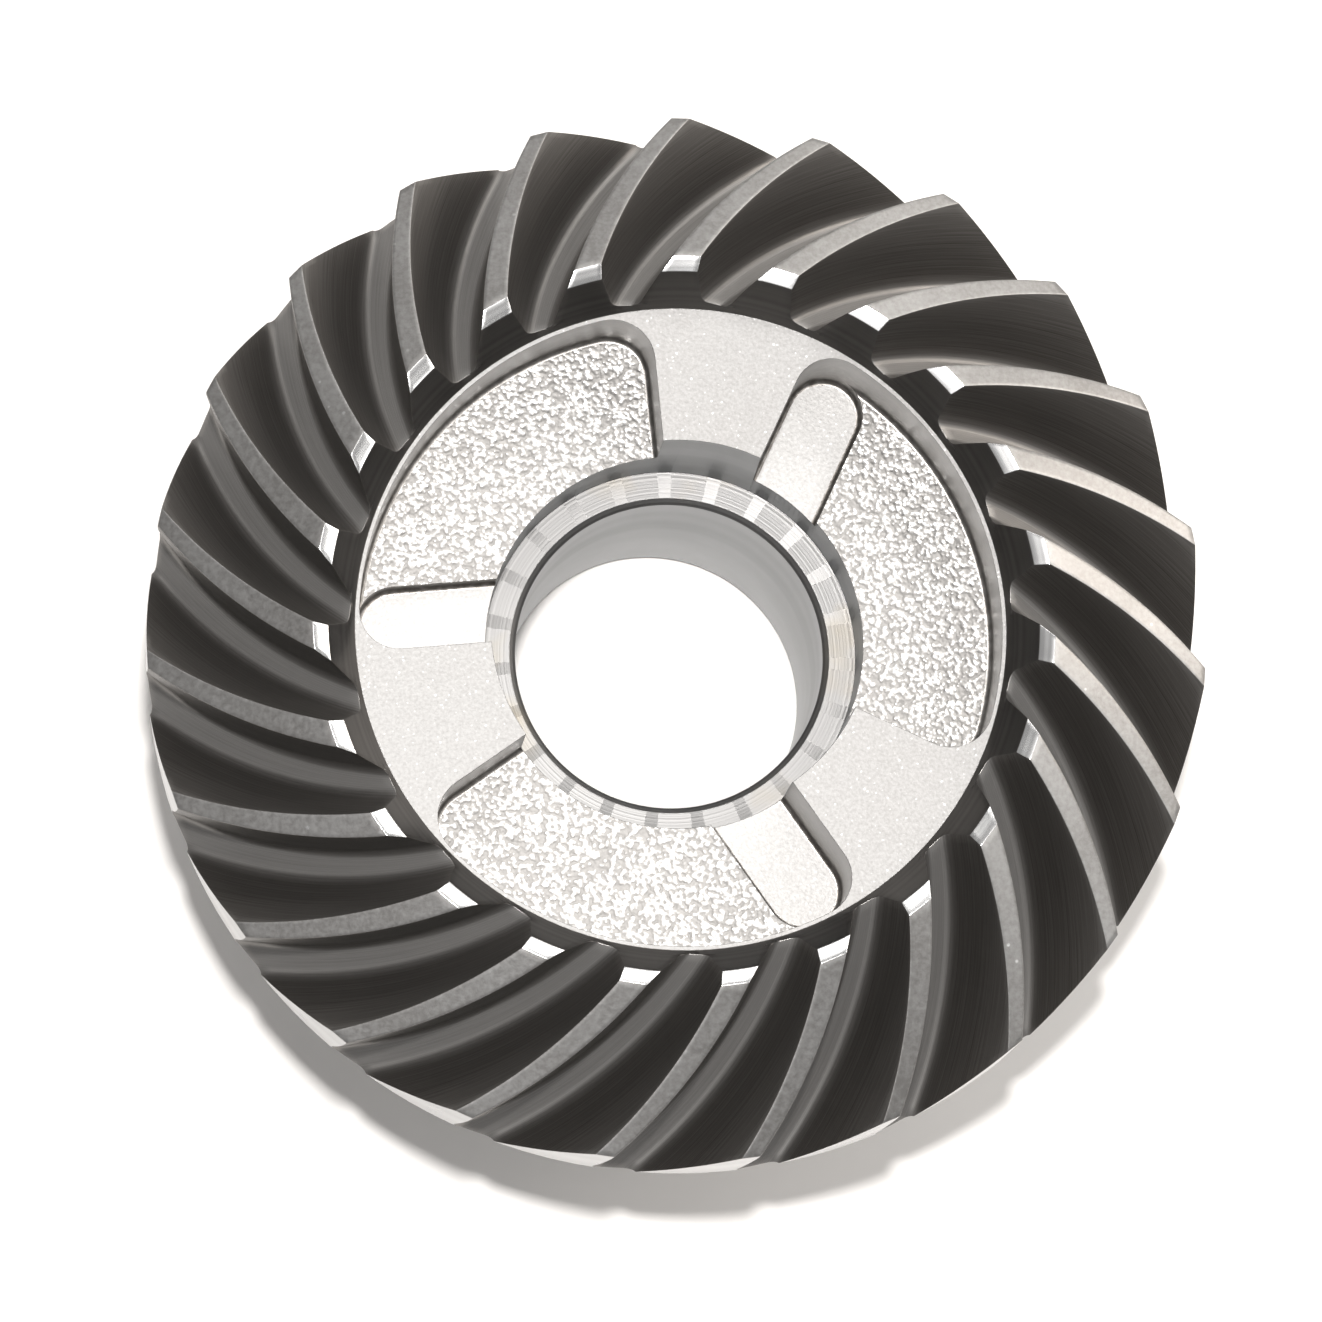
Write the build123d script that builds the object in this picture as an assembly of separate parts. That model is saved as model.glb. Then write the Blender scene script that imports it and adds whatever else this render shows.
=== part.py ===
from build123d import *
from math import atan2, cos, degrees, radians, sin, sqrt, tan
import os

# Spiral bevel gear with a three-dog clutch face recessed inside its ring of teeth.
# Millimetres and degrees. The gear stands on the end of its hub, teeth up. The bore
# axis is Z, and the end face of the hub is at Z = 0.

# Heights along the axis.
hub_length = 16.5              # hub end to the thrust shoulder
body_height = 19.0             # thrust shoulder to the flat tops of the dogs
apex_height = 18.5             # tops of the dogs to the apex of the teeth's outer cone

# Clutch face: three dogs, each with a radial driving face and a milled slot at its foot.
dog_count = 3
dog_angle = 30.2               # angle that one dog takes up
first_dog_angle = 65.4         # driving face of the first dog
clutch_radius = 26.95          # rim of the clutch face
pocket_rim = 0.35              # thin rim left outside the pockets
pocket_depth = 6.7
pocket_corner = 3.5
slot_width = 6.5
slot_depth = 8.2
floor_chamfer = 0.4            # along the feet of the pocket and slot walls

# Teeth: their lands lie on the outer cone, and the roots rise to the clutch rim.
tooth_count = 23
outer_radius = 44.0            # turned outside of the teeth
face_angle = 64.5              # cone of the lands, from the axis
root_angle = 55.0              # cone of the roots, from the axis
root_rise = 0.3                # the roots run out this far above the clutch rim
front_cone_width = 2.3         # clutch rim to the bevel at a tooth's inner end
toe_bevel_width = 1.25
toe_bevel_slope = 18.0         # that bevel falls inwards from the land

# Cutting of the spiral: a face cutter's outer and inner blades sweep each tooth space.
cutter_radius = 45.0
spiral_angle = 37.6            # right hand, halfway along the lands
pressure_angle = 21.2
root_space_share = 0.29        # of the pitch, between the feet of the two flanks
tip_radius = 0.8               # rounding that the blades leave at the feet of the flanks
flank_crown = 0.12             # the flanks bulge this much at mid depth
first_space_angle = 85.1

# Bore with its counterbore, and the back of the gear.
bore_radius = 13.0
bore_chamfer = 0.5
shoulder_width = 2.75          # ring at the bottom of the counterbore
counterbore_depth = 12.5
journal_radius = 22.5
journal_chamfer = 1.0
thrust_width = 8.5             # flat ring that the thrust bearing seats on
heel_wall = 2.8                # metal left under the roots at their outer ends
back_bevel = 3.5               # 45 degree bevel behind the teeth

overrun = 1.0                  # cuts run this far past the faces that they open
blade_reach = 1.5              # blades and their sweep are this many times what they cut

# Worked out from the values above.
clutch_z = hub_length + body_height
apex_z = clutch_z + apex_height
toe_radius = clutch_radius + front_cone_width + toe_bevel_width
mean_radius = (outer_radius + toe_radius) / 2
crown_z = apex_z - outer_radius / tan(radians(face_angle))


def root_z(radius):
    """Height of the root cone at a radius."""
    return clutch_z + root_rise - (radius - clutch_radius) / tan(radians(root_angle))


tooth_depth = (crown_z - root_z(outer_radius)) * sin(radians(root_angle))


def turned_blank():
    """The gear before its teeth and clutch are cut, as one turned section."""
    toe_z = apex_z - toe_radius / tan(radians(face_angle))
    bevel_drop = toe_bevel_width * tan(radians(toe_bevel_slope))
    shoulder_z = clutch_z - counterbore_depth
    counterbore_radius = bore_radius + shoulder_width
    back_z = root_z(outer_radius) - heel_wall
    section = [
        (bore_radius + bore_chamfer, 0),
        (journal_radius - journal_chamfer, 0),
        (journal_radius, journal_chamfer),
        (journal_radius, hub_length),
        (journal_radius + thrust_width, hub_length),
        (outer_radius - back_bevel, back_z),
        (outer_radius, back_z + back_bevel),
        (outer_radius, crown_z),
        (toe_radius, toe_z),
        (toe_radius - toe_bevel_width, toe_z - bevel_drop),
        (clutch_radius, clutch_z),
        (counterbore_radius, clutch_z),
        (counterbore_radius, shoulder_z),
        (bore_radius + bore_chamfer, shoulder_z),
        (bore_radius, shoulder_z - bore_chamfer),
        (bore_radius, bore_chamfer),
    ]
    outline = Polyline([(r, 0, z) for r, z in section], close=True)
    return revolve(make_face(outline), Axis.Z)


def tooth_space():
    """One tooth space, with its mean point over +X, ready to be cut from the blank.

    It is what the outer blades sweep less what the inner blades leave. Both work down to
    the plane that touches the root cone at the mean point, and are turned apart in that
    plane about the apex, so that the space narrows towards the clutch.
    """
    along = Vector(sin(radians(root_angle)), 0, -cos(radians(root_angle)))
    normal = Vector(cos(radians(root_angle)), 0, sin(radians(root_angle)))
    across = Vector(0, -1, 0)
    mean_point = Vector(mean_radius, 0, root_z(mean_radius))
    apex = mean_point - mean_radius / sin(radians(root_angle)) * along
    spiral = radians(spiral_angle)
    centre = mean_point + cutter_radius * (cos(spiral) * across - sin(spiral) * along)
    cutter = Plane(origin=centre, x_dir=along, z_dir=normal)
    turn = root_space_share * 360 / tooth_count / 2 * sin(radians(root_angle))
    outside = (cutter * blade_sweep(1)).rotate(Axis(apex, normal), turn)
    inside = (cutter * blade_sweep(-1)).rotate(Axis(apex, normal), -turn)

    side = blade_reach * (outer_radius - clutch_radius) / sin(radians(root_angle))
    window = Plane(origin=mean_point, x_dir=along, z_dir=normal) * Box(side, side, side)
    return (outside - inside) & window


def blade_sweep(side):
    """The solid that one edge of the cutter sweeps about Z: side 1 outer, -1 inner.

    From its foot at Z = 0 come the tip of the blade, rounded in two flats, and then the
    flank, a shallow arc that leans by the pressure angle.
    """
    lean = tan(radians(pressure_angle))
    turn = radians(90 - pressure_angle)
    foot = cutter_radius - side * tip_radius * tan(turn / 2)

    def tip(angle):
        return (foot + side * tip_radius * sin(angle), tip_radius * (1 - cos(angle)))

    def flank(height):
        crown = 4 * flank_crown * height / tooth_depth * (1 - height / tooth_depth)
        return (cutter_radius + side * (height * lean - crown), height)

    top = flank(blade_reach * tooth_depth)
    edge = Polyline(tip(0), tip(turn / 2), tip(turn))
    edge += ThreePointArc(tip(turn), flank(tooth_depth / 2), top)
    rest = Polyline([top, (0, top[1]), (0, 0), tip(0)])
    section = Plane.XZ * make_face(edge + rest)
    return revolve(section, Axis.Z)


def clutch_cut():
    """The opening beside one dog, whose driving face lies over +X.

    A slot with a round end runs along the driving face. Clockwise from it, the
    shallower pocket reaches to the back of the next dog.
    """
    wall_radius = clutch_radius - pocket_rim
    half = slot_width / 2
    end_x = sqrt((wall_radius - half) ** 2 - half**2)
    sides = Polyline([(end_x, -slot_width), (0, -slot_width), (0, 0), (end_x, 0)])
    end = ThreePointArc((end_x, 0), (end_x + half, -half), (end_x, -slot_width))
    slot = extrude(make_face(sides + end), slot_depth + overrun)
    slot = chamfer(slot.edges().group_by(Axis.Z)[0], floor_chamfer)

    first = -degrees(atan2(half, end_x))
    last = dog_angle - 360 / dog_count
    rim = [polar(wall_radius, angle) for angle in (first, (first + last) / 2, last)]
    sector = make_face(Polyline([rim[2], (0, 0), rim[0]]) + ThreePointArc(*rim))
    corner = sector.vertices().sort_by_distance(rim[2])[0]
    pocket = extrude(fillet(corner, pocket_corner), pocket_depth + overrun)
    pocket = chamfer(pocket.edges().group_by(Axis.Z)[0], floor_chamfer)

    slot = Pos(Z=clutch_z - slot_depth) * slot
    pocket = Pos(Z=clutch_z - pocket_depth) * pocket
    return slot + pocket


def polar(radius, angle):
    return (radius * cos(radians(angle)), radius * sin(radians(angle)))


def around(shape, first_angle, count):
    """Copies of a shape, evenly spaced about the gear's axis."""
    return [Rot(Z=first_angle + 360 / count * i) * shape for i in range(count)]


def main():
    os.makedirs("parts", exist_ok=True)
    gear = turned_blank()
    gear -= around(tooth_space(), first_space_angle, tooth_count)
    gear -= around(clutch_cut(), first_dog_angle, dog_count)
    export_step(gear, "parts/bevel_gear.step")


main()
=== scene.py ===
from math import atan2, cos, degrees, hypot, pi, radians, sin, tan

import bmesh
import bpy
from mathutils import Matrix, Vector


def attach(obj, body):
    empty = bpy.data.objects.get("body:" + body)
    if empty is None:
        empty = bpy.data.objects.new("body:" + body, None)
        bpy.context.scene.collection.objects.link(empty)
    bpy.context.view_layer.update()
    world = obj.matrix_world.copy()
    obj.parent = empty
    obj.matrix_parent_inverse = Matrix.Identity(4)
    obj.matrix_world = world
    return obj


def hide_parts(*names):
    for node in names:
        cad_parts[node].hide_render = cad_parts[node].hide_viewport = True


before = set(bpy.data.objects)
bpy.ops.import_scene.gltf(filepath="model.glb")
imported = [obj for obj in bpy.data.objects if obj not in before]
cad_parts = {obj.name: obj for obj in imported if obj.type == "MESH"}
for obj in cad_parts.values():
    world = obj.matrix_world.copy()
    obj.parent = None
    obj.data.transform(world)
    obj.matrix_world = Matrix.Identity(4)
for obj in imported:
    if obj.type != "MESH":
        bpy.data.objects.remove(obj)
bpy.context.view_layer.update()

mm = 0.001


# A socket that can stand in a Python expression.
class Wire:
    def __init__(self, finish, socket):
        self.finish = finish
        self.socket = socket

    def calc(self, operation, first, second):
        return self.finish.node("ShaderNodeMath", {"operation": operation}, {0: first, 1: second})

    def __add__(self, other):
        return self.calc("ADD", self, other)

    def __sub__(self, other):
        return self.calc("SUBTRACT", self, other)

    def __rsub__(self, other):
        return self.calc("SUBTRACT", other, self)

    def __mul__(self, other):
        return self.calc("MULTIPLY", self, other)

    __radd__ = __add__
    __rmul__ = __mul__

    def clip(self, low=0.0, high=1.0):
        return self.calc("MINIMUM", self.calc("MAXIMUM", self, low), high)


# One finish: a Principled shader and the nodes that lead to it.
class Finish:
    def __init__(self, name, **fixed):
        self.material = bpy.data.materials.new(name)
        self.material.use_nodes = True
        self.tree = self.material.node_tree
        self.tree.nodes.clear()
        self.shader = self.tree.nodes.new("ShaderNodeBsdfPrincipled")
        out = self.tree.nodes.new("ShaderNodeOutputMaterial")
        self.tree.links.new(self.shader.outputs[0], out.inputs["Surface"])
        for key, value in fixed.items():
            self.feed(self.shader, key.replace("_", " "), value)

    def feed(self, node, key, value):
        named = [s for s in node.inputs if s.identifier == key]
        socket = named[0] if named else node.inputs[key]
        if isinstance(value, Wire):
            self.tree.links.new(value.socket, socket)
        else:
            socket.default_value = value

    def node(self, kind, settings, sockets, output=0):
        made = self.tree.nodes.new(kind)
        for key, value in settings.items():
            setattr(made, key, value)
        for key, value in sockets.items():
            self.feed(made, key, value)
        return Wire(self, made.outputs[output])

    def use(self, **inputs):
        for key, value in inputs.items():
            self.feed(self.shader, key.replace("_", " "), value)

    def place(self):
        return self.node("ShaderNodeTexCoord", {}, {}, "Object")

    def noise(self, scale, detail=3.0, roughness=0.5, at=None):
        at = at or self.place()
        sockets = {"Vector": at, "Scale": scale, "Detail": detail, "Roughness": roughness}
        return self.node("ShaderNodeTexNoise", {}, sockets, 0)

    def cells(self, scale, feature="F1"):
        sockets = {"Vector": self.place(), "Scale": scale}
        return self.node("ShaderNodeTexVoronoi", {"feature": feature}, sockets)

    # takes low..high of a value to 0..1
    def ramp(self, value, low, high):
        sockets = {"Value": value, "From Min": low, "From Max": high}
        return self.node("ShaderNodeMapRange", {}, sockets, 0)

    # the other way round: 1 below low, 0 above high
    def calmer(self, value, low, high):
        sockets = {"Value": value, "From Min": low, "From Max": high,
                   "To Min": 1.0, "To Max": 0.0}
        return self.node("ShaderNodeMapRange", {}, sockets, 0)

    def blend(self, mask, dark, light):
        sockets = {"Factor_Float": mask, "A_Color": dark, "B_Color": light}
        return self.node("ShaderNodeMix", {"data_type": "RGBA"}, sockets, 2)

    def bump(self, height, strength, distance):
        sockets = {"Height": height, "Strength": strength, "Distance": distance}
        return self.node("ShaderNodeBump", {}, sockets, 0)


def grey(level, warmth=0.0):
    return (level * (1 + warmth), level, level * (1 - warmth), 1.0)


# Each finish has its own few values; scales are in marks per metre.
landLook = {"base": 0.40, "dark": 0.30, "rough": 0.33, "grain": 2300.0, "cloud": 140.0,
            "paintedSpeckGlint": 520.0, "paintedSpeckGlintSize": (0.04, 0.10)}


def groundLand():
    finish = Finish("groundLand", Metallic=1.0)
    grain = finish.noise(landLook["grain"], 3.0, 0.65)
    cloud = finish.noise(landLook["cloud"], 3.0)
    # painted glints: near-white specks in the base colour where the cloud is high
    paintedSpeckGlint = finish.calmer(finish.cells(landLook["paintedSpeckGlint"]), *landLook["paintedSpeckGlintSize"])
    paintedSpeckGlint = paintedSpeckGlint * finish.ramp(cloud, 0.5, 0.62)
    mask = finish.ramp(grain * 0.6 + cloud * 0.4, 0.38, 0.62)
    steel = finish.blend(mask, grey(landLook["dark"], 0.03), grey(landLook["base"], 0.015))
    finish.use(Base_Color=finish.blend(paintedSpeckGlint, steel, grey(0.9)),
               Roughness=(landLook["rough"] + grain * 0.14 - paintedSpeckGlint * 0.15).clip(),
               Normal=finish.bump(grain, 0.25, 0.00004))
    return finish.material


cutLook = {"root": 0.25, "flank": 0.075, "rim": 0.15, "rough": 0.40, "lines": 8.0,
           "drawn": 0.06, "cloud": 90.0, "grain": 2600.0}
# Millimetres across the cut over which the root darkens and the rim brightens: painted shade on the flanks
# and a painted highlight near the land.
cutFade = {"root": (1.3, 2.9), "rim": (5.5, 9.0)}


# Face-milled tooth space: fine lines run lengthwise, the flanks are nearly black, partly their dark coat
# and partly painted shade, with a paler root and a painted highlight near the land.
def milledSpace():
    finish = Finish("milledSpace", Metallic=0.9)
    spot = finish.node("ShaderNodeUVMap", {"uv_map": "cut"}, {})
    across = finish.node("ShaderNodeSeparateXYZ", {}, {"Vector": spot}, 1)
    stretch = (cutLook["drawn"], cutLook["lines"], 1.0)
    drawn = finish.node("ShaderNodeMapping", {}, {"Vector": spot, "Scale": stretch})
    lines = finish.noise(1.0, 4.0, 0.7, drawn)
    cloud = finish.noise(cutLook["cloud"], 3.0)
    grain = finish.noise(cutLook["grain"], 2.0)
    depth = finish.node("ShaderNodeMath", {"operation": "ABSOLUTE"}, {0: across})
    # painted shade: flanks near black against a paler root; painted highlight on the flanks near the land
    root = finish.calmer(depth + cloud * 0.8, *cutFade["root"])
    rim = finish.ramp(depth, *cutFade["rim"])
    shade = finish.blend(root, grey(cutLook["flank"], 0.09), grey(cutLook["root"], 0.03))
    shade = finish.blend(rim * 0.7, shade, grey(cutLook["rim"], 0.05))
    streak = finish.ramp(lines, 0.30, 0.72)
    shade = finish.blend(streak * (0.30 + root * 0.4), shade, grey(cutLook["root"] * 1.5, 0.03))
    height = lines * (0.3 + root * 0.7) + grain * 0.25
    finish.use(Base_Color=shade,
               Roughness=(cutLook["rough"] + cloud * 0.12 - streak * root * 0.12).clip(),
               Normal=finish.bump(height, 0.30, 0.00005))
    return finish.material


turnedLooks = {
    "toeBevelSteel": {"base": 0.74, "warm": 0.0, "rough": 0.22, "rings": 3000.0, "depth": 0.10},
    # the front cone's low base is painted shade on the teeth's end faces
    "frontConeSteel": {"base": 0.15, "warm": 0.05, "rough": 0.36, "rings": 3200.0, "depth": 0.20},
    "shoulderSteel": {"base": 0.22, "warm": 0.01, "rough": 0.48, "rings": 5200.0, "depth": 0.50,
                      "stain": 0.35},
    "boreSteel": {"base": 0.40, "warm": -0.015, "rough": 0.47, "rings": 900.0, "depth": 0.06},
    "turnedOutside": {"base": 0.52, "warm": 0.0, "rough": 0.28, "rings": 2600.0, "depth": 0.15},
    "turnedBack": {"base": 0.36, "warm": 0.01, "rough": 0.32, "rings": 2600.0, "depth": 0.25},
}
turnedCloud = 110.0
ringSquash = (1.0, 1.0, 0.35)     # height counts less than the radius in the rings


# Turned surface with fine rings round the gear's axis.
def turnedSteel(name):
    look = turnedLooks[name]
    base, warm = look["base"], look["warm"]
    finish = Finish(name, Metallic=1.0)
    flat = finish.node("ShaderNodeVectorMath", {"operation": "MULTIPLY"},
                       {0: finish.place(), 1: ringSquash})
    radius = finish.node("ShaderNodeVectorMath", {"operation": "LENGTH"}, {0: flat}, "Value")
    marks = finish.node("ShaderNodeTexNoise", {"noise_dimensions": "1D"},
                        {"W": radius * look["rings"], "Scale": 1.0, "Detail": 3.0})
    cloud = finish.noise(turnedCloud, 4.0)
    mask = finish.ramp(marks * 0.5 + cloud * 0.5, 0.36, 0.64)
    shade = finish.blend(mask, grey(base * 0.80, warm), grey(base * 1.1, warm))
    if "stain" in look:
        oil = (base, base * 0.78, base * 0.40, 1.0)
        shade = finish.blend(finish.ramp(cloud, 0.52, 0.70) * look["stain"], shade, oil)
    finish.use(Base_Color=shade, Roughness=(look["rough"] + cloud * 0.12 - 0.05).clip(),
               Normal=finish.bump(marks, look["depth"], 0.00004))
    return finish.material


blastLook = {"pale": 0.37, "dark": 0.28, "rough": 0.55, "grain": 3600.0, "cloud": 75.0,
             "paintedGlint": 1900.0, "paintedGlintSize": (0.06, 0.20)}


# Blasted surface; share makes it paler or darker. Its near-white specks are painted glints.
def blastedSteel(name, share):
    finish = Finish(name, Metallic=1.0)
    grain = finish.noise(blastLook["grain"], 3.0, 0.6)
    cloud = finish.noise(blastLook["cloud"], 4.0)
    # painted glints: near-white specks in the base colour
    paintedGlint = finish.calmer(finish.cells(blastLook["paintedGlint"]), *blastLook["paintedGlintSize"])
    paintedGlint = paintedGlint * finish.ramp(grain, 0.5, 0.62)
    mask = finish.ramp(grain * 0.55 + cloud * 0.45, 0.36, 0.64)
    steel = finish.blend(mask, grey(blastLook["dark"] * share, 0.02),
                         grey(blastLook["pale"] * share, 0.012))
    finish.use(Base_Color=finish.blend(paintedGlint * 0.8, steel, grey(0.95)),
               Roughness=(blastLook["rough"] + cloud * 0.12 - paintedGlint * 0.2).clip(),
               Normal=finish.bump(grain, 0.45, 0.00006))
    return finish.material


hammerLook = {"pale": 0.53, "dark": 0.26, "rough": 0.38, "cell": 3300.0, "coarse": 0.55,
              "drift": 900.0, "paintedGlintSize": (0.08, 0.26), "depth": 0.00010}


# Floors of the pockets: forged skin of small cells, their glitter painted as near-white glints at the
# cells' centres.
def hammeredSteel():
    finish = Finish("hammeredSteel", Metallic=1.0)
    drift = finish.noise(hammerLook["drift"], 2.0)
    cell = finish.cells(hammerLook["cell"], "SMOOTH_F1")
    coarse = finish.cells(hammerLook["cell"] * hammerLook["coarse"])
    height = cell * 0.8 + coarse * 0.6 + drift * 0.6
    gap = finish.ramp(cell * 0.6 + coarse * 0.4 + drift * 0.2, 0.36, 0.62)
    # painted glints at the cells' centres
    paintedGlint = finish.calmer(cell, *hammerLook["paintedGlintSize"])
    steel = finish.blend(gap, grey(hammerLook["pale"], 0.012), grey(hammerLook["dark"], 0.03))
    finish.use(Base_Color=finish.blend(paintedGlint * 0.6, steel, grey(0.95)),
               Roughness=(hammerLook["rough"] + gap * 0.2).clip(),
               Normal=finish.bump(height, 0.85, hammerLook["depth"]))
    return finish.material


wallLook = {"pale": 0.36, "dark": 0.16, "rough": 0.32, "grain": 1500.0, "cloud": 200.0,
            "shadeFade": (0.0285, 0.0345)}


# Walls of the pockets and slots, with painted shade: darker towards their feet, fading in between the two
# heights of the fade.
def wallSteel():
    finish = Finish("pocketWallSteel", Metallic=1.0)
    high = finish.node("ShaderNodeSeparateXYZ", {}, {"Vector": finish.place()}, 2)
    grain = finish.noise(wallLook["grain"], 3.0)
    cloud = finish.noise(wallLook["cloud"], 3.0)
    # painted shade low on the walls
    low = finish.calmer(high + cloud * 0.002, *wallLook["shadeFade"])
    steel = finish.blend(low, grey(wallLook["pale"], 0.01), grey(wallLook["dark"], 0.08))
    finish.use(Base_Color=finish.blend(finish.ramp(grain, 0.4, 0.7) * 0.4, steel, grey(0.5, 0.03)),
               Roughness=wallLook["rough"] + grain * 0.15, Normal=finish.bump(grain, 0.3, 0.00005))
    return finish.material


# In the order of the finish numbers that the gear's faces carry.
def makeFinishes():
    return [
        groundLand(), milledSpace(), turnedSteel("toeBevelSteel"), turnedSteel("frontConeSteel"),
        # the slot floors are made paler with share 1.35: painted light where the walls shade them
        blastedSteel("blastedSteel", 1.0), hammeredSteel(), blastedSteel("milledSlotFloorPaintedLight", 1.35),
        wallSteel(), turnedSteel("shoulderSteel"), turnedSteel("boreSteel"),
        turnedSteel("turnedOutside"), turnedSteel("turnedBack"),
    ]


floorLook = {"size": 4.0, "colour": (0.80, 0.785, 0.77, 1.0), "rough": 0.8,
             "glow": 0.13, "glowColour": (1.0, 0.97, 0.94, 1.0)}


def layFloor():
    half = floorLook["size"] / 2
    mesh = bpy.data.meshes.new("floor")
    corners = [(-half, -half, 0), (half, -half, 0), (half, half, 0), (-half, half, 0)]
    mesh.from_pydata(corners, [], [(0, 1, 2, 3)])
    floor = bpy.data.objects.new("floor", mesh)
    bpy.context.collection.objects.link(floor)
    finish = Finish("paleFloor", Roughness=floorLook["rough"], Base_Color=floorLook["colour"],
                    Emission_Color=floorLook["glowColour"])
    rays = finish.tree.nodes.new("ShaderNodeLightPath")
    kinds = ("Is Camera Ray", "Is Glossy Ray", "Is Transmission Ray")
    seen = [Wire(finish, rays.outputs[name]) for name in kinds]
    finish.use(Emission_Strength=(seen[0] + seen[1] + seen[2]).clip() * floorLook["glow"])
    mesh.materials.append(finish.material)


# The lamps stand round the gear: direction, height angle, distance, size and light.
lampAim = (0, 0, 0.03)
lamps = {
    "flash": {"place": (-0.041, -0.016, 0.693), "wide": 0.036, "tall": 0.036, "power": 5.0,
              "tint": (1.0, 0.98, 0.96)},
    "lowEast": {"turn": 20, "rise": 28, "away": 0.9, "wide": 0.36, "tall": 0.20, "power": 1.5,
                "tint": (1.0, 0.91, 0.82)},
    "lowNorthEast": {"turn": 60, "rise": 23, "away": 0.9, "wide": 0.44, "tall": 0.18,
                     "power": 0.7, "tint": (1.0, 0.96, 0.91)},
}
for number, turn in enumerate((-14, 10, 34, 58, 82, 106)):
    lamps["strip" + str(number)] = {"turn": turn, "rise": 46, "away": 0.9, "wide": 0.38,
                                    "tall": 0.22, "power": 0.75, "tint": (1.0, 0.985, 0.96)}
lamps["behind"] = {"turn": 250, "rise": 60, "away": 0.9, "wide": 0.5, "tall": 0.25,
                   "power": 0.35, "tint": (1.0, 1.0, 1.0)}
worldGrey = {"seen": 1.0, "mirrored": 0.30, "ambient": 0.12}


def hangLamps():
    aim = Vector(lampAim)
    for name, lamp in lamps.items():
        light = bpy.data.lights.new(name, "AREA")
        light.shape = "DISK" if name == "flash" else "RECTANGLE"
        light.size = lamp["wide"]
        light.size_y = lamp["tall"]
        light.energy = lamp["power"]
        light.color = lamp["tint"]
        if "place" in lamp:
            place = Vector(lamp["place"])
        else:
            turn, rise = radians(lamp["turn"]), radians(lamp["rise"])
            ray = Vector((cos(turn) * cos(rise), sin(turn) * cos(rise), sin(rise)))
            place = aim + lamp["away"] * ray
        holder = bpy.data.objects.new(name, light)
        holder.location = place
        holder.rotation_euler = (aim - place).to_track_quat("-Z", "Y").to_euler()
        bpy.context.collection.objects.link(holder)


def lightWorld():
    world = bpy.data.worlds.new("studio")
    bpy.context.scene.world = world
    world.use_nodes = True
    tree = world.node_tree
    back = tree.nodes["Background"]
    back.inputs["Color"].default_value = (1.0, 0.99, 0.98, 1.0)
    rays = tree.nodes.new("ShaderNodeLightPath")
    strength = worldGrey["ambient"]
    for name, level in (("Is Glossy Ray", worldGrey["mirrored"]), ("Is Camera Ray", worldGrey["seen"])):
        mix = tree.nodes.new("ShaderNodeMix")
        tree.links.new(rays.outputs[name], mix.inputs["Factor"])
        if isinstance(strength, float):
            mix.inputs["A"].default_value = strength
        else:
            tree.links.new(strength, mix.inputs["A"])
        mix.inputs["B"].default_value = level
        strength = mix.outputs["Result"]
    tree.links.new(strength, back.inputs["Strength"])


def setCamera():
    view = {"lens": 186.45, "sensor": 36.0, "tilt": 10.724, "lean": -4.585,
            "place": (-0.0460, -0.1078, 0.5876)}
    lens = bpy.data.cameras.new("camera")
    lens.lens = view["lens"]
    lens.sensor_width = view["sensor"]
    lens.clip_start = 0.01
    camera = bpy.data.objects.new("camera", lens)
    camera.location = view["place"]
    camera.rotation_euler = (radians(view["tilt"]), radians(view["lean"]), 0)
    bpy.context.collection.objects.link(camera)
    bpy.context.scene.camera = camera


setCamera()
hangLamps()
lightWorld()
layFloor()
bpy.context.scene.view_settings.view_transform = "Standard"
print("camera, lamps and floor are set")


# Sizes of the gear in millimetres and degrees, the same as its solid has.
gearSize = {
    "clutchZ": 35.5, "apexZ": 54.0, "outerRadius": 44.0, "toothCount": 23,
    "faceAngle": 64.5, "rootAngle": 55.0, "rootRise": 0.3, "clutchRadius": 26.95,
    "frontWidth": 2.3, "toeWidth": 1.25, "toeSlope": 18.0,
    "cutterRadius": 45.0, "spiral": 37.6, "pressure": 21.2, "rootShare": 0.29,
    "tipRadius": 0.8, "crown": 0.12, "firstSpace": 85.1, "bladeReach": 1.5,
    "heelWall": 2.8, "backBevel": 3.5,
    "hubLength": 16.5, "thrustRadius": 31.0, "journalRadius": 22.5, "journalChamfer": 1.0,
    "boreRadius": 13.0, "boreChamfer": 0.5, "counterRadius": 15.75, "counterDepth": 12.5,
    "firstDog": 65.4, "dogAngle": 30.2, "dogCount": 3, "pocketRim": 0.35,
    "pocketDepth": 6.7, "pocketCorner": 3.5, "slotWidth": 6.5, "slotDepth": 8.2, "foot": 0.4,
}
# How finely it is divided, and how its edges are finished.
gearMesh = {
    "footCuts": 4, "tipCuts": 4, "flankCuts": 6, "toeCuts": 3, "floorCuts": 3, "landCuts": 6,
    "rows": 26, "bendCuts": 4, "cuspCuts": 4, "rimCuts": 30, "cornerCuts": 12,
    "slotEndCuts": 10, "slotTailCuts": 8, "slotArcCuts": 26, "pocketArcCuts": 72, "dogCuts": 34,
    "halvings": 42, "weld": 0.002,
    "edgeRound": 0.055, "edgeCuts": 2, "edgeAngle": 32, "normalWeight": 80,
}
# Numbers of the finishes, as the faces carry them.
(land, toothSpace, toeBevel, frontCone, clutchFace, pocketFloor,
 slotFloor, pocketWall, shoulder, bore, outside, back) = range(12)


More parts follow.
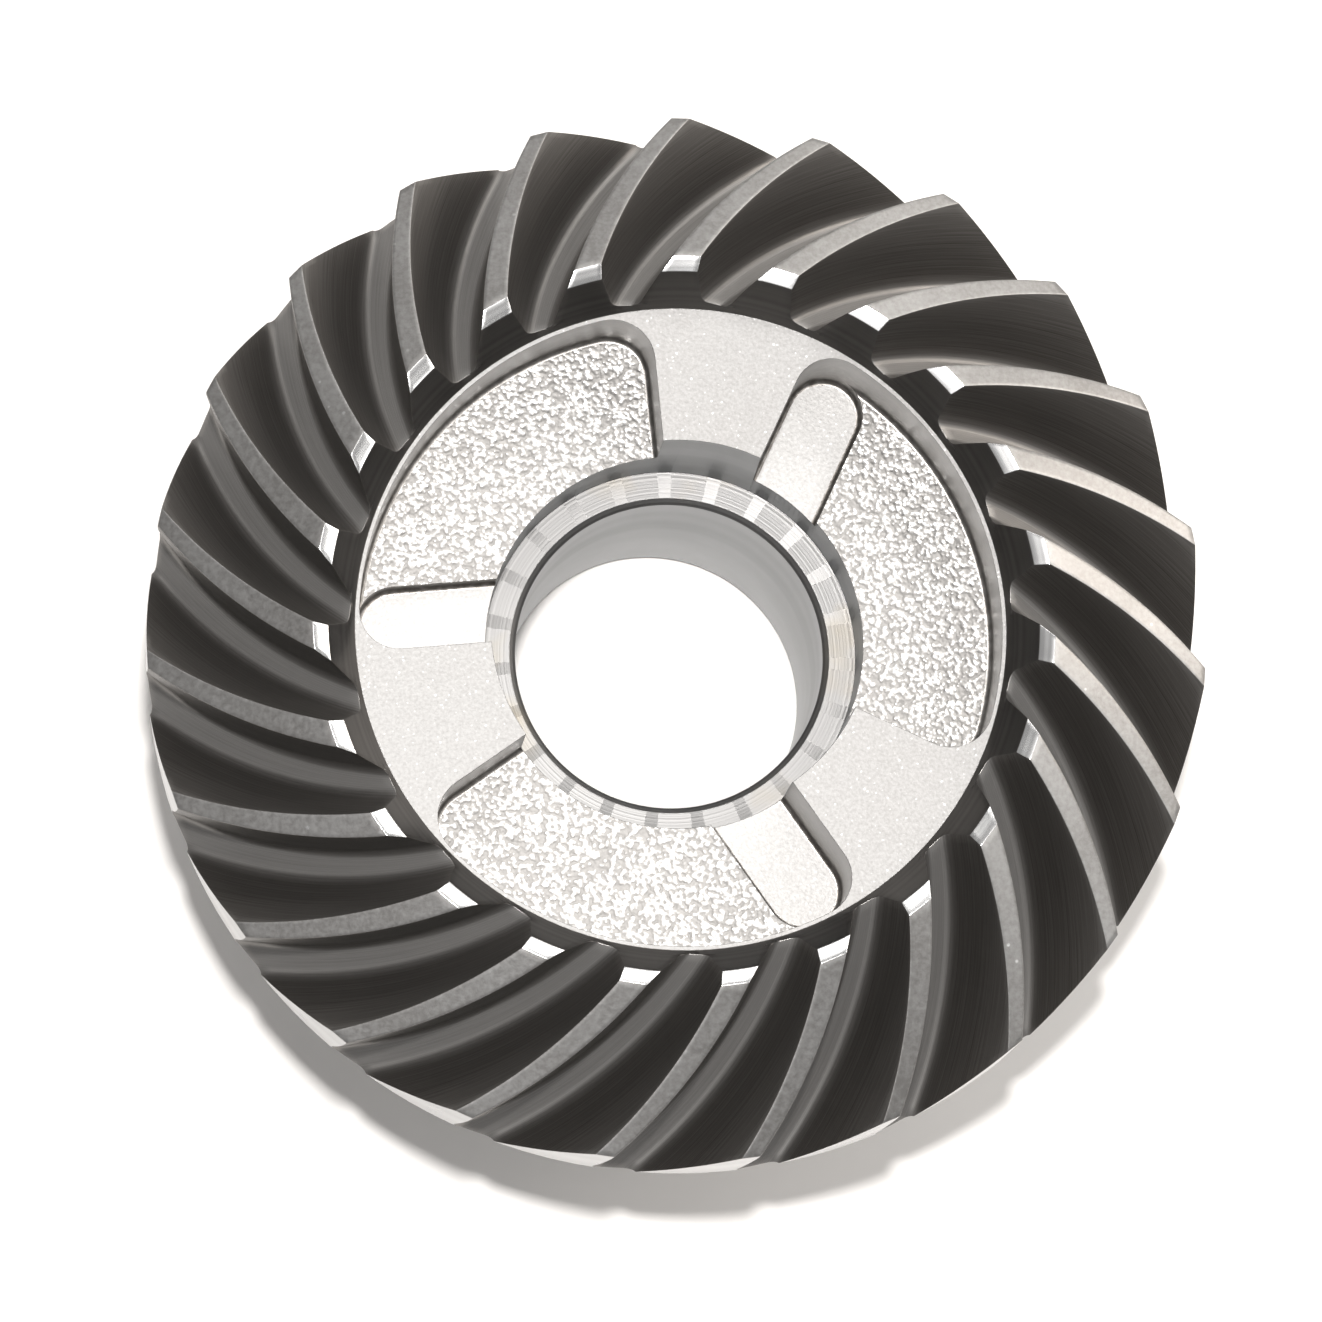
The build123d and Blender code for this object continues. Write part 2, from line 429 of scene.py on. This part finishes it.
# Faces gathered in millimetres; every corner has its place along and across the cut.
class Shell:
    def __init__(self):
        self.points, self.faces, self.finishes, self.marks = [], [], [], []

    def face(self, corners, finish):
        first = len(self.points)
        for corner in corners:
            self.points.append(corner[:3])
            self.marks.append(corner[3:5] if len(corner) > 3 else (0.0, 0.0))
        self.faces.append(tuple(range(first, len(self.points))))
        self.finishes.append(finish)

    def grid(self, rows, finish):
        for low, high in zip(rows, rows[1:]):
            for i in range(len(low) - 1):
                self.face([low[i], low[i + 1], high[i + 1], high[i]], finish)

    def make(self, name):
        mesh = bpy.data.meshes.new(name)
        mesh.from_pydata([[c * mm for c in p] for p in self.points], [], self.faces)
        layer = mesh.uv_layers.new(name="cut")
        layer.data.foreach_set("uv", [c for mark in self.marks for c in mark])
        tag = mesh.attributes.new("finish", "INT", "FACE")
        tag.data.foreach_set("value", self.finishes)
        piece = bpy.data.objects.new(name, mesh)
        bpy.context.collection.objects.link(piece)
        return piece


def evenly(low, high, cuts):
    return [low + (high - low) * i / cuts for i in range(cuts + 1)]


# Where a rule changes its sign between two values.
def halve(rule, low, high):
    positive = rule(low) > 0
    for step in range(gearMesh["halvings"]):
        middle = (low + high) / 2
        if (rule(middle) > 0) == positive:
            low = middle
        else:
            high = middle
    return (low + high) / 2


def onCircle(radius, turn, z):
    return (radius * cos(radians(turn)), radius * sin(radians(turn)), z)


def turned(point, angle):
    c, s = cos(radians(angle)), sin(radians(angle))
    return (point[0] * c - point[1] * s, point[0] * s + point[1] * c) + tuple(point[2:])


def angleOf(point):
    return degrees(atan2(point[1], point[0]))


# One tooth space, its land and the strip of the body under them.
def cutSector(shell):
    g, cut = gearSize, gearMesh
    root, face = radians(g["rootAngle"]), radians(g["faceAngle"])
    lean, spiral = radians(g["pressure"]), radians(g["spiral"])
    tipTurn = pi / 2 - lean
    pitch = 360 / g["toothCount"]
    toeRadius = g["clutchRadius"] + g["frontWidth"] + g["toeWidth"]
    cornerRadius = toeRadius - g["toeWidth"]
    meanRadius = (g["outerRadius"] + toeRadius) / 2
    toeSlope = tan(radians(g["toeSlope"]))
    cornerZ = g["apexZ"] - toeRadius / tan(face) - g["toeWidth"] * toeSlope
    frontSlope = (cornerZ - g["clutchZ"]) / g["frontWidth"]

    def rootZ(radius):
        return g["clutchZ"] + g["rootRise"] - (radius - g["clutchRadius"]) / tan(root)

    crownZ = g["apexZ"] - g["outerRadius"] / tan(face)
    depth = (crownZ - rootZ(g["outerRadius"])) * sin(root)
    backZ = rootZ(g["outerRadius"]) - g["heelWall"]
    heelZ = backZ + g["backBevel"]
    apexU = meanRadius / sin(root)
    apexZ = rootZ(meanRadius) + meanRadius / tan(root)
    centreU = apexU - g["cutterRadius"] * sin(spiral)
    centreV = -g["cutterRadius"] * cos(spiral)
    share = radians(g["rootShare"] * pitch / 2 * sin(root))
    tipTop = g["tipRadius"] * (1 - cos(tipTurn))

    # where a blade point at a radius and height from the cutter's axis passes at an angle
    def place(side, radius, height, swing):
        u = centreU + radius * cos(swing)
        v = centreV + radius * sin(swing)
        c, s = cos(side * share), sin(side * share)
        u, v = u * c - v * s, u * s + v * c
        return (u * sin(root) + height * cos(root), v, apexZ - u * cos(root) + height * sin(root))

    def flank(side, height, swing):
        a, b, c = tipTop, depth / 2, g["bladeReach"] * depth
        top = 4 * g["crown"] * g["bladeReach"] * (1 - g["bladeReach"])
        bulge = g["crown"] * (height - a) * (height - c) / ((b - a) * (b - c))
        bulge += top * (height - a) * (height - b) / ((c - a) * (c - b))
        return place(side, g["cutterRadius"] + side * (height * tan(lean) - bulge), height, swing)

    def landHeight(side, swing):
        def over(height):
            x, y, z = flank(side, height, swing)
            return z + hypot(x, y) / tan(face) - g["apexZ"]
        return halve(over, tipTop / 2, 2 * depth)

    # profile 0 to 1 is the rounded tip of the blade, 1 to 2 the flank up to the land
    def point(side, profile, swing):
        if profile <= 1:
            turn = profile * tipTurn
            foot = g["cutterRadius"] - side * g["tipRadius"] * tan(tipTurn / 2)
            rise = g["tipRadius"] * (1 - cos(turn))
            spot = place(side, foot + side * g["tipRadius"] * sin(turn), rise, swing)
            length = g["tipRadius"] * turn
        else:
            height = tipTop + (profile - 1) * (landHeight(side, swing) - tipTop)
            spot = flank(side, height, swing)
            length = g["tipRadius"] * tipTurn + (height - tipTop) / cos(lean)
        return spot + (swing * g["cutterRadius"], side * (1 + length))

    def insideFront(p):
        radius = hypot(p[0], p[1])
        front = g["clutchZ"] + (radius - g["clutchRadius"]) * frontSlope - p[2]
        return min(front, cornerZ + (radius - cornerRadius) * toeSlope - p[2])

    def insideHeel(p):
        radius = hypot(p[0], p[1])
        return min(g["outerRadius"] - radius, p[2] - heelZ - radius + g["outerRadius"])

    middle = pi / 2 - spiral
    reach = 0.35                  # radians of swing that hold each end of a space

    def starts(side, profile):
        return halve(lambda swing: insideFront(point(side, profile, swing)), middle, middle + reach)

    def ends(side, profile):
        return halve(lambda swing: insideHeel(point(side, profile, swing)), middle, middle - reach)

    steps = evenly(0, 1, cut["rows"])
    columns = {}
    for side in (-1, 1):
        def toeMiss(profile):
            p = point(side, profile, starts(side, profile))
            return hypot(p[0], p[1]) - cornerRadius

        def heelMiss(profile):
            return point(side, profile, ends(side, profile))[2] - heelZ

        # profiles at which the flank meets the toe's corner and the heel's bevel
        toeAt, heelAt = halve(toeMiss, 1.05, 2), halve(heelMiss, 0.1, 1.9)
        profiles = evenly(0, heelAt, cut["footCuts"])
        profiles += evenly(heelAt, 1, cut["tipCuts"])[1:]
        profiles += evenly(1, toeAt, cut["flankCuts"])[1:]
        profiles += evenly(toeAt, 2, cut["toeCuts"])[1:]
        made = []
        for profile in profiles:
            first, last = starts(side, profile), ends(side, profile)
            made.append([point(side, profile, first + (last - first) * step) for step in steps])
        columns[side] = made
    heelRow = cut["footCuts"]
    toeRow = heelRow + cut["tipCuts"] + cut["flankCuts"]
    left, right = columns[1], columns[-1]

    floor = []
    for step in evenly(0, 1, cut["floorCuts"]):
        line = []
        for a, b in zip(right[0], left[0]):
            line.append(tuple(x + (y - x) * step for x, y in zip(a, b)))
        z = line[0][2]
        radius = g["clutchRadius"] + (z - g["clutchZ"]) / frontSlope
        line[0] = onCircle(radius, angleOf(line[0]), z) + line[0][3:]
        z = line[-1][2]
        radius = g["outerRadius"] + z - heelZ
        line[-1] = onCircle(radius, angleOf(line[-1]), z) + line[-1][3:]
        floor.append(line)
    floor[0], floor[-1] = right[0], left[0]
    shell.grid(list(reversed(right)), toothSpace)
    shell.grid(floor, toothSpace)
    shell.grid(left, toothSpace)

    # rows across the metal between this space and the next one
    def across(a, b, height):
        b = turned(b, pitch)
        row = []
        first, last = angleOf(a), angleOf(b)
        angles = evenly(first, last + (360 if last < first else 0), cut["landCuts"])
        radii = evenly(hypot(a[0], a[1]), hypot(b[0], b[1]), cut["landCuts"])
        for i, (angle, radius) in enumerate(zip(angles, radii)):
            z = height(radius, a[2] + (b[2] - a[2]) * i / cut["landCuts"])
            row.append(onCircle(radius, angle, z))
        row[0], row[-1] = a[:3], b[:3]
        return row

    top = [across(left[-1][i], right[-1][i], lambda r, z: g["apexZ"] - r / tan(face))
           for i in range(len(steps))]
    shell.grid(top, land)
    toe = [across(left[k][0], right[k][0], lambda r, z: cornerZ + (r - cornerRadius) * toeSlope)
           for k in range(toeRow, len(left))]
    shell.grid(toe, toeBevel)

    def frontZ(radius, z):
        return g["clutchZ"] + (radius - g["clutchRadius"]) * frontSlope

    front = [across(left[k][0], right[k][0], frontZ) for k in range(toeRow + 1)]
    shell.grid(front, frontCone)
    heel = [across(left[k][-1], right[k][-1], lambda r, z: z) for k in range(heelRow, len(left))]
    shell.grid(heel, outside)

    # rim of the clutch face
    upper = [line[0] for line in floor] + front[0][1:]
    rim = [onCircle(g["clutchRadius"], angleOf(p), g["clutchZ"]) for p in upper]
    shell.grid([upper, rim], frontCone)

    # back of the gear, ring after ring down to the bore and up to the counterbore
    upper = [column[-1] for column in reversed(right[:heelRow + 1])]
    upper += [line[-1] for line in floor[1:-1]]
    upper += [column[-1] for column in left[:heelRow + 1]] + heel[0][1:]
    shoulderZ = g["clutchZ"] - g["counterDepth"]
    hub, hole, hollow = g["journalRadius"], g["boreRadius"], g["boreRadius"] + g["boreChamfer"]
    rings = [
        (g["outerRadius"] - g["backBevel"], backZ, back),
        (g["thrustRadius"], g["hubLength"], back),
        (hub, g["hubLength"], back), (hub, g["journalChamfer"], back),
        (hub - g["journalChamfer"], 0, back), (hollow, 0, back),
        (hole, g["boreChamfer"], back), (hole, shoulderZ - g["boreChamfer"], bore),
        (hollow, shoulderZ, shoulder), (g["counterRadius"], shoulderZ, shoulder),
    ]
    for radius, z, finish in rings:
        lower = [onCircle(radius, angleOf(p), z) for p in upper]
        shell.grid([upper, lower], finish)
        upper = lower
    return rim[:-1], upper[:-1]


# A sector's points repeated for every tooth, in the order of their angles.
def allRound(sector):
    g = gearSize
    pitch = 360 / g["toothCount"]
    spins = [g["firstSpace"] + pitch * i for i in range(g["toothCount"])]
    ring = [turned(p, spin) for spin in spins for p in sector]
    return sorted(ring, key=lambda p: angleOf(p) % 360)


# Clutch face: three dogs with a slot and a pocket between each two.
def cutClutch(shell, rim, well):
    g, cut = gearSize, gearMesh
    top, foot, rounding = g["clutchZ"], g["foot"], g["pocketCorner"]
    wall, half, inner = g["clutchRadius"] - g["pocketRim"], g["slotWidth"] / 2, g["counterRadius"]
    endX = ((wall - half) ** 2 - half ** 2) ** 0.5
    lastAngle = g["dogAngle"] - 360 / g["dogCount"]
    slotZ, pocketZ = top - g["slotDepth"], top - g["pocketDepth"]
    centreReach = wall - rounding
    cornerAngle = lastAngle + degrees(atan2(rounding, (centreReach ** 2 - rounding ** 2) ** 0.5))
    touch = degrees(atan2(-half, endX))
    bends = evenly(0, pi / 2, cut["bendCuts"])

    # radius at which a ray meets the slot's round end
    def slotEdge(angle):
        along = endX * cos(radians(angle)) - half * sin(radians(angle))
        return along + max(0.0, along ** 2 - endX ** 2) ** 0.5

    # the round end leaves the pocket's bend within the next few degrees
    meets = halve(lambda angle: slotEdge(angle) - (wall - foot), touch, touch - 12)
    cusp = evenly(touch, meets, cut["cuspCuts"])
    beyond = evenly(meets, cornerAngle, cut["rimCuts"])[1:]
    cornerTurns = evenly(cornerAngle, lastAngle - 90, cut["cornerCuts"])[1:]
    ray = (cos(radians(lastAngle)), sin(radians(lastAngle)))
    corner = onCircle(centreReach, cornerAngle, 0)

    def bendLimit(angle):
        gap = wall - slotEdge(angle)
        return pi / 2 if gap >= foot else atan2((1 - (1 - gap / foot) ** 2) ** 0.5, 1 - gap / foot)

    # the pocket's outline, moved inwards round the bend at its foot
    def pocketRow(bend):
        row = []
        for angle in cusp:
            turn = min(bend, pi / 2) / (pi / 2) * bendLimit(angle)
            row.append(onCircle(wall - foot * (1 - cos(turn)), angle, pocketZ + foot * (1 - sin(turn))))
        inset, z = foot * (1 - cos(bend)), pocketZ + foot * (1 - sin(bend))
        row += [onCircle(wall - inset, angle, z) for angle in beyond]
        for angle in cornerTurns:
            x, y = onCircle(rounding - inset, angle, 0)[:2]
            row.append((corner[0] + x, corner[1] + y, z))
        far = (inner ** 2 - inset ** 2) ** 0.5
        row.append((far * ray[0] - inset * ray[1], far * ray[1] + inset * ray[0], z))
        return row

    cuspSpots = pocketRow(pi / 2)[:len(cusp)]
    roundTurns = evenly(90, touch, cut["slotEndCuts"])
    roundTurns += [degrees(atan2(p[1] + half, p[0] - endX)) for p in cuspSpots[1:]]
    roundTurns += evenly(roundTurns[-1], -90, cut["slotTailCuts"])[1:]

    def slotRow(inset, z):
        row = [((inner ** 2 - inset ** 2) ** 0.5, -inset, z)]
        for angle in roundTurns:
            x, y = onCircle(half - inset, angle, 0)[:2]
            row.append((endX + x, y - half, z))
        low = 2 * half - inset
        row.append(((inner ** 2 - low ** 2) ** 0.5, -low, z))
        return row

    split = cut["slotEndCuts"] + 1                # place in the slot's row where it meets the wall
    tops = []
    for k in range(g["dogCount"]):
        spin = g["firstDog"] + 360 / g["dogCount"] * k
        place = lambda row: [turned(p, spin) for p in row]
        upper = pocketRow(0.0)
        outline = slotRow(0, top)[:split] + [(p[0], p[1], top) for p in upper]
        shell.grid([place([(p[0], p[1], top) for p in upper]), place(upper)], pocketWall)
        pocketRows = [pocketRow(bend) for bend in bends]
        shell.grid([place(row) for row in pocketRows], pocketWall)
        slotTop = slotRow(0, top)[:split + 1]
        ledge = slotRow(0, pocketZ)[split:]
        for i, spot in enumerate(cuspSpots):
            ledge[i] = (ledge[i][0], ledge[i][1], spot[2])
        slotRows = [slotRow(foot * (1 - cos(bend)), slotZ + foot * (1 - sin(bend))) for bend in bends]
        shell.grid([place(slotTop[:-1]), place(slotRows[0][:split])], pocketWall)
        join = [slotTop[-2], slotTop[-1], ledge[0], slotRows[0][split], slotRows[0][split - 1]]
        shell.face(place(join), pocketWall)
        shell.grid([place(ledge), place(slotRows[0][split:])], pocketWall)
        shell.grid([place(row) for row in slotRows], pocketWall)
        # floors, closed along the counterbore
        a, b = angleOf(slotRows[-1][-1]), angleOf(slotRows[-1][0])
        slotArc = [onCircle(inner, angle, slotZ) for angle in evenly(a, b, cut["slotArcCuts"])]
        shell.face(place(slotRows[-1] + slotArc[1:-1]), slotFloor)
        a, b = angleOf(pocketRows[-1][-1]), angleOf(ledge[-1])
        pocketArc = [onCircle(inner, angle, pocketZ) for angle in evenly(a, b, cut["pocketArcCuts"])]
        bottom = pocketRows[-1][len(cusp) - 1:] + pocketArc[1:-1]
        bottom += list(reversed(ledge[len(cusp) - 1:]))[:-1]
        shell.face(place(bottom), pocketFloor)
        # the top of the counterbore's wall over this opening and the dog after it
        edge = [upper[-1][:2] + (top,)] + [row[-1] for row in pocketRows] + pocketArc[1:]
        edge += [row[-1] for row in slotRows] + slotArc[1:]
        edge += [row[0] for row in reversed(slotRows)][1:]
        dog = [onCircle(inner, angle, top) for angle in evenly(0, g["dogAngle"], cut["dogCuts"])]
        tops.append({"outline": place(outline), "edge": place(edge), "dog": place(dog)})

    # flat tops in three parts, which meet in the middle of the dogs
    centres = []
    for k in range(g["dogCount"]):
        aim = g["firstDog"] + 360 / g["dogCount"] * k + g["dogAngle"] / 2
        gaps = [abs((angleOf(p) - aim + 180) % 360 - 180) for p in rim]
        centres.append(gaps.index(min(gaps)))
    for k in range(g["dogCount"]):
        before, here = tops[k - 1], tops[k]
        first, last = centres[k - 1], centres[k]
        arc = rim[first:last + 1] if first < last else rim[first:] + rim[:last + 1]
        mid = len(here["dog"]) // 2
        loop = arc + list(reversed(here["dog"][:mid + 1])) + here["outline"][1:-1]
        shell.face(loop + list(reversed(before["dog"][mid:])), clutchFace)

    # counterbore wall, zipped between its ring and the edges above it
    upper = []
    for part in tops:
        upper += part["edge"] + part["dog"][:-1]
    gaps = [abs((angleOf(p) - angleOf(upper[0]) + 180) % 360 - 180) for p in well]
    start = gaps.index(min(gaps))
    lower = well[start:] + well[:start + 1]
    upper.append(upper[0])

    def unrolled(chain):
        turns = [angleOf(chain[0])]
        for p in chain[1:]:
            turns.append(turns[-1] + (angleOf(p) - turns[-1] + 180) % 360 - 180)
        return turns

    lowTurns, highTurns = unrolled(lower), unrolled(upper)
    i = j = 0
    while i < len(lower) - 1 or j < len(upper) - 1:
        if j == len(upper) - 1 or (i < len(lower) - 1 and lowTurns[i + 1] <= highTurns[j + 1]):
            shell.face([lower[i], lower[i + 1], upper[j]], bore)
            i += 1
        else:
            shell.face([lower[i], upper[j + 1], upper[j]], bore)
            j += 1


# Geometry Nodes turn the sector round the axis, join the clutch and give the finishes.
def ringTree(finishes):
    tree = bpy.data.node_groups.new("toothRing", "GeometryNodeTree")
    face = tree.interface
    face.new_socket("Geometry", in_out="INPUT", socket_type="NodeSocketGeometry")
    face.new_socket("Teeth", in_out="INPUT", socket_type="NodeSocketInt")
    face.new_socket("First angle", in_out="INPUT", socket_type="NodeSocketFloat")
    face.new_socket("Clutch", in_out="INPUT", socket_type="NodeSocketObject")
    face.new_socket("Weld", in_out="INPUT", socket_type="NodeSocketFloat")
    face.new_socket("Geometry", in_out="OUTPUT", socket_type="NodeSocketGeometry")

    def add(kind, settings={}, links={}):
        made = tree.nodes.new(kind)
        for key, value in settings.items():
            setattr(made, key, value)
        for key, value in links.items():
            if isinstance(value, bpy.types.NodeSocket):
                tree.links.new(value, made.inputs[key])
            else:
                made.inputs[key].default_value = value
        return made

    given = add("NodeGroupInput")
    line = add("GeometryNodeMeshLine", {}, {"Count": given.outputs["Teeth"], "Offset": (0, 0, 0)})
    index = add("GeometryNodeInputIndex")
    step = add("ShaderNodeMath", {"operation": "DIVIDE"}, {0: 2 * pi, 1: given.outputs["Teeth"]})
    turn = add("ShaderNodeMath", {"operation": "MULTIPLY_ADD"},
               {0: index.outputs[0], 1: step.outputs[0], 2: given.outputs["First angle"]})
    spin = add("ShaderNodeCombineXYZ", {}, {"Z": turn.outputs[0]})
    copies = add("GeometryNodeInstanceOnPoints", {}, {
        "Points": line.outputs["Mesh"], "Instance": given.outputs["Geometry"], "Rotation": spin.outputs[0]})
    clutch = add("GeometryNodeObjectInfo", {}, {"Object": given.outputs["Clutch"]})
    whole = add("GeometryNodeRealizeInstances", {}, {"Geometry": copies.outputs[0]})
    joined = add("GeometryNodeJoinGeometry")
    tree.links.new(clutch.outputs["Geometry"], joined.inputs[0])
    tree.links.new(whole.outputs[0], joined.inputs[0])
    last = add("GeometryNodeMergeByDistance", {}, {
        "Geometry": joined.outputs[0], "Distance": given.outputs["Weld"]})
    tag = add("GeometryNodeInputNamedAttribute", {"data_type": "INT"}, {"Name": "finish"})
    for number, finish in enumerate(finishes):
        same = add("FunctionNodeCompare", {"data_type": "INT", "operation": "EQUAL"},
                   {2: tag.outputs["Attribute"], 3: number})
        last = add("GeometryNodeSetMaterial", {}, {
            "Geometry": last.outputs[0], "Selection": same.outputs[0], "Material": finish})
    out = add("NodeGroupOutput")
    tree.links.new(last.outputs[0], out.inputs[0])
    return tree


# Applies a piece's modifiers.
def plainMesh(piece, name):
    bpy.context.view_layer.update()
    seen = piece.evaluated_get(bpy.context.evaluated_depsgraph_get())
    mesh = bpy.data.meshes.new_from_object(seen)
    mesh.name = name
    piece.modifiers.clear()
    piece.data = mesh
    return mesh


def makeGear(finishes):
    sector = Shell()
    rim, well = cutSector(sector)
    piece = sector.make("spiral_gear")
    clutch = Shell()
    cutClutch(clutch, allRound(rim), allRound(well))
    disc = clutch.make("clutchPart")
    print("tooth sector", len(sector.faces), "faces, clutch", len(clutch.faces), "faces")

    ring = piece.modifiers.new("toothRing", "NODES")
    ring.node_group = ringTree(finishes)
    values = {"Teeth": gearSize["toothCount"], "First angle": radians(gearSize["firstSpace"]),
              "Clutch": disc, "Weld": gearMesh["weld"] * mm}
    for socket in ring.node_group.interface.items_tree:
        if socket.in_out == "INPUT" and socket.name in values:
            ring[socket.identifier] = values[socket.name]
    mesh = plainMesh(piece, "spiral_gear")
    bpy.data.objects.remove(disc)

    work = bmesh.new()
    work.from_mesh(mesh)
    bmesh.ops.remove_doubles(work, verts=work.verts, dist=gearMesh["weld"] * mm)
    bmesh.ops.dissolve_degenerate(work, edges=work.edges, dist=gearMesh["weld"] * mm / 4)
    bmesh.ops.recalc_face_normals(work, faces=work.faces)
    openEdges = sum(len(edge.link_faces) != 2 for edge in work.edges)
    if work.calc_volume(signed=True) < 0:
        bmesh.ops.reverse_faces(work, faces=work.faces)
    volume = round(work.calc_volume() / mm ** 3)
    print("ring joined:", len(work.faces), "faces,", openEdges, "open edges,", volume, "mm3")
    for face in work.faces:
        face.smooth = True
    work.to_mesh(mesh)
    work.free()

    edges = piece.modifiers.new("edges", "BEVEL")
    edges.width = gearMesh["edgeRound"] * mm
    edges.segments = gearMesh["edgeCuts"]
    edges.limit_method = "ANGLE"
    edges.angle_limit = radians(gearMesh["edgeAngle"])
    edges.use_clamp_overlap = False
    edges.miter_outer = "MITER_ARC"
    weights = piece.modifiers.new("weights", "WEIGHTED_NORMAL")
    weights.weight = gearMesh["normalWeight"]
    plainMesh(piece, "spiral_gear")
    print("gear finished:", sum(len(p.vertices) - 2 for p in piece.data.polygons), "triangles")
    return piece


finishes = makeFinishes()
print("finishes made:", len(finishes))
gear = makeGear(finishes)
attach(gear, "root")
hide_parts("bevel_gear")
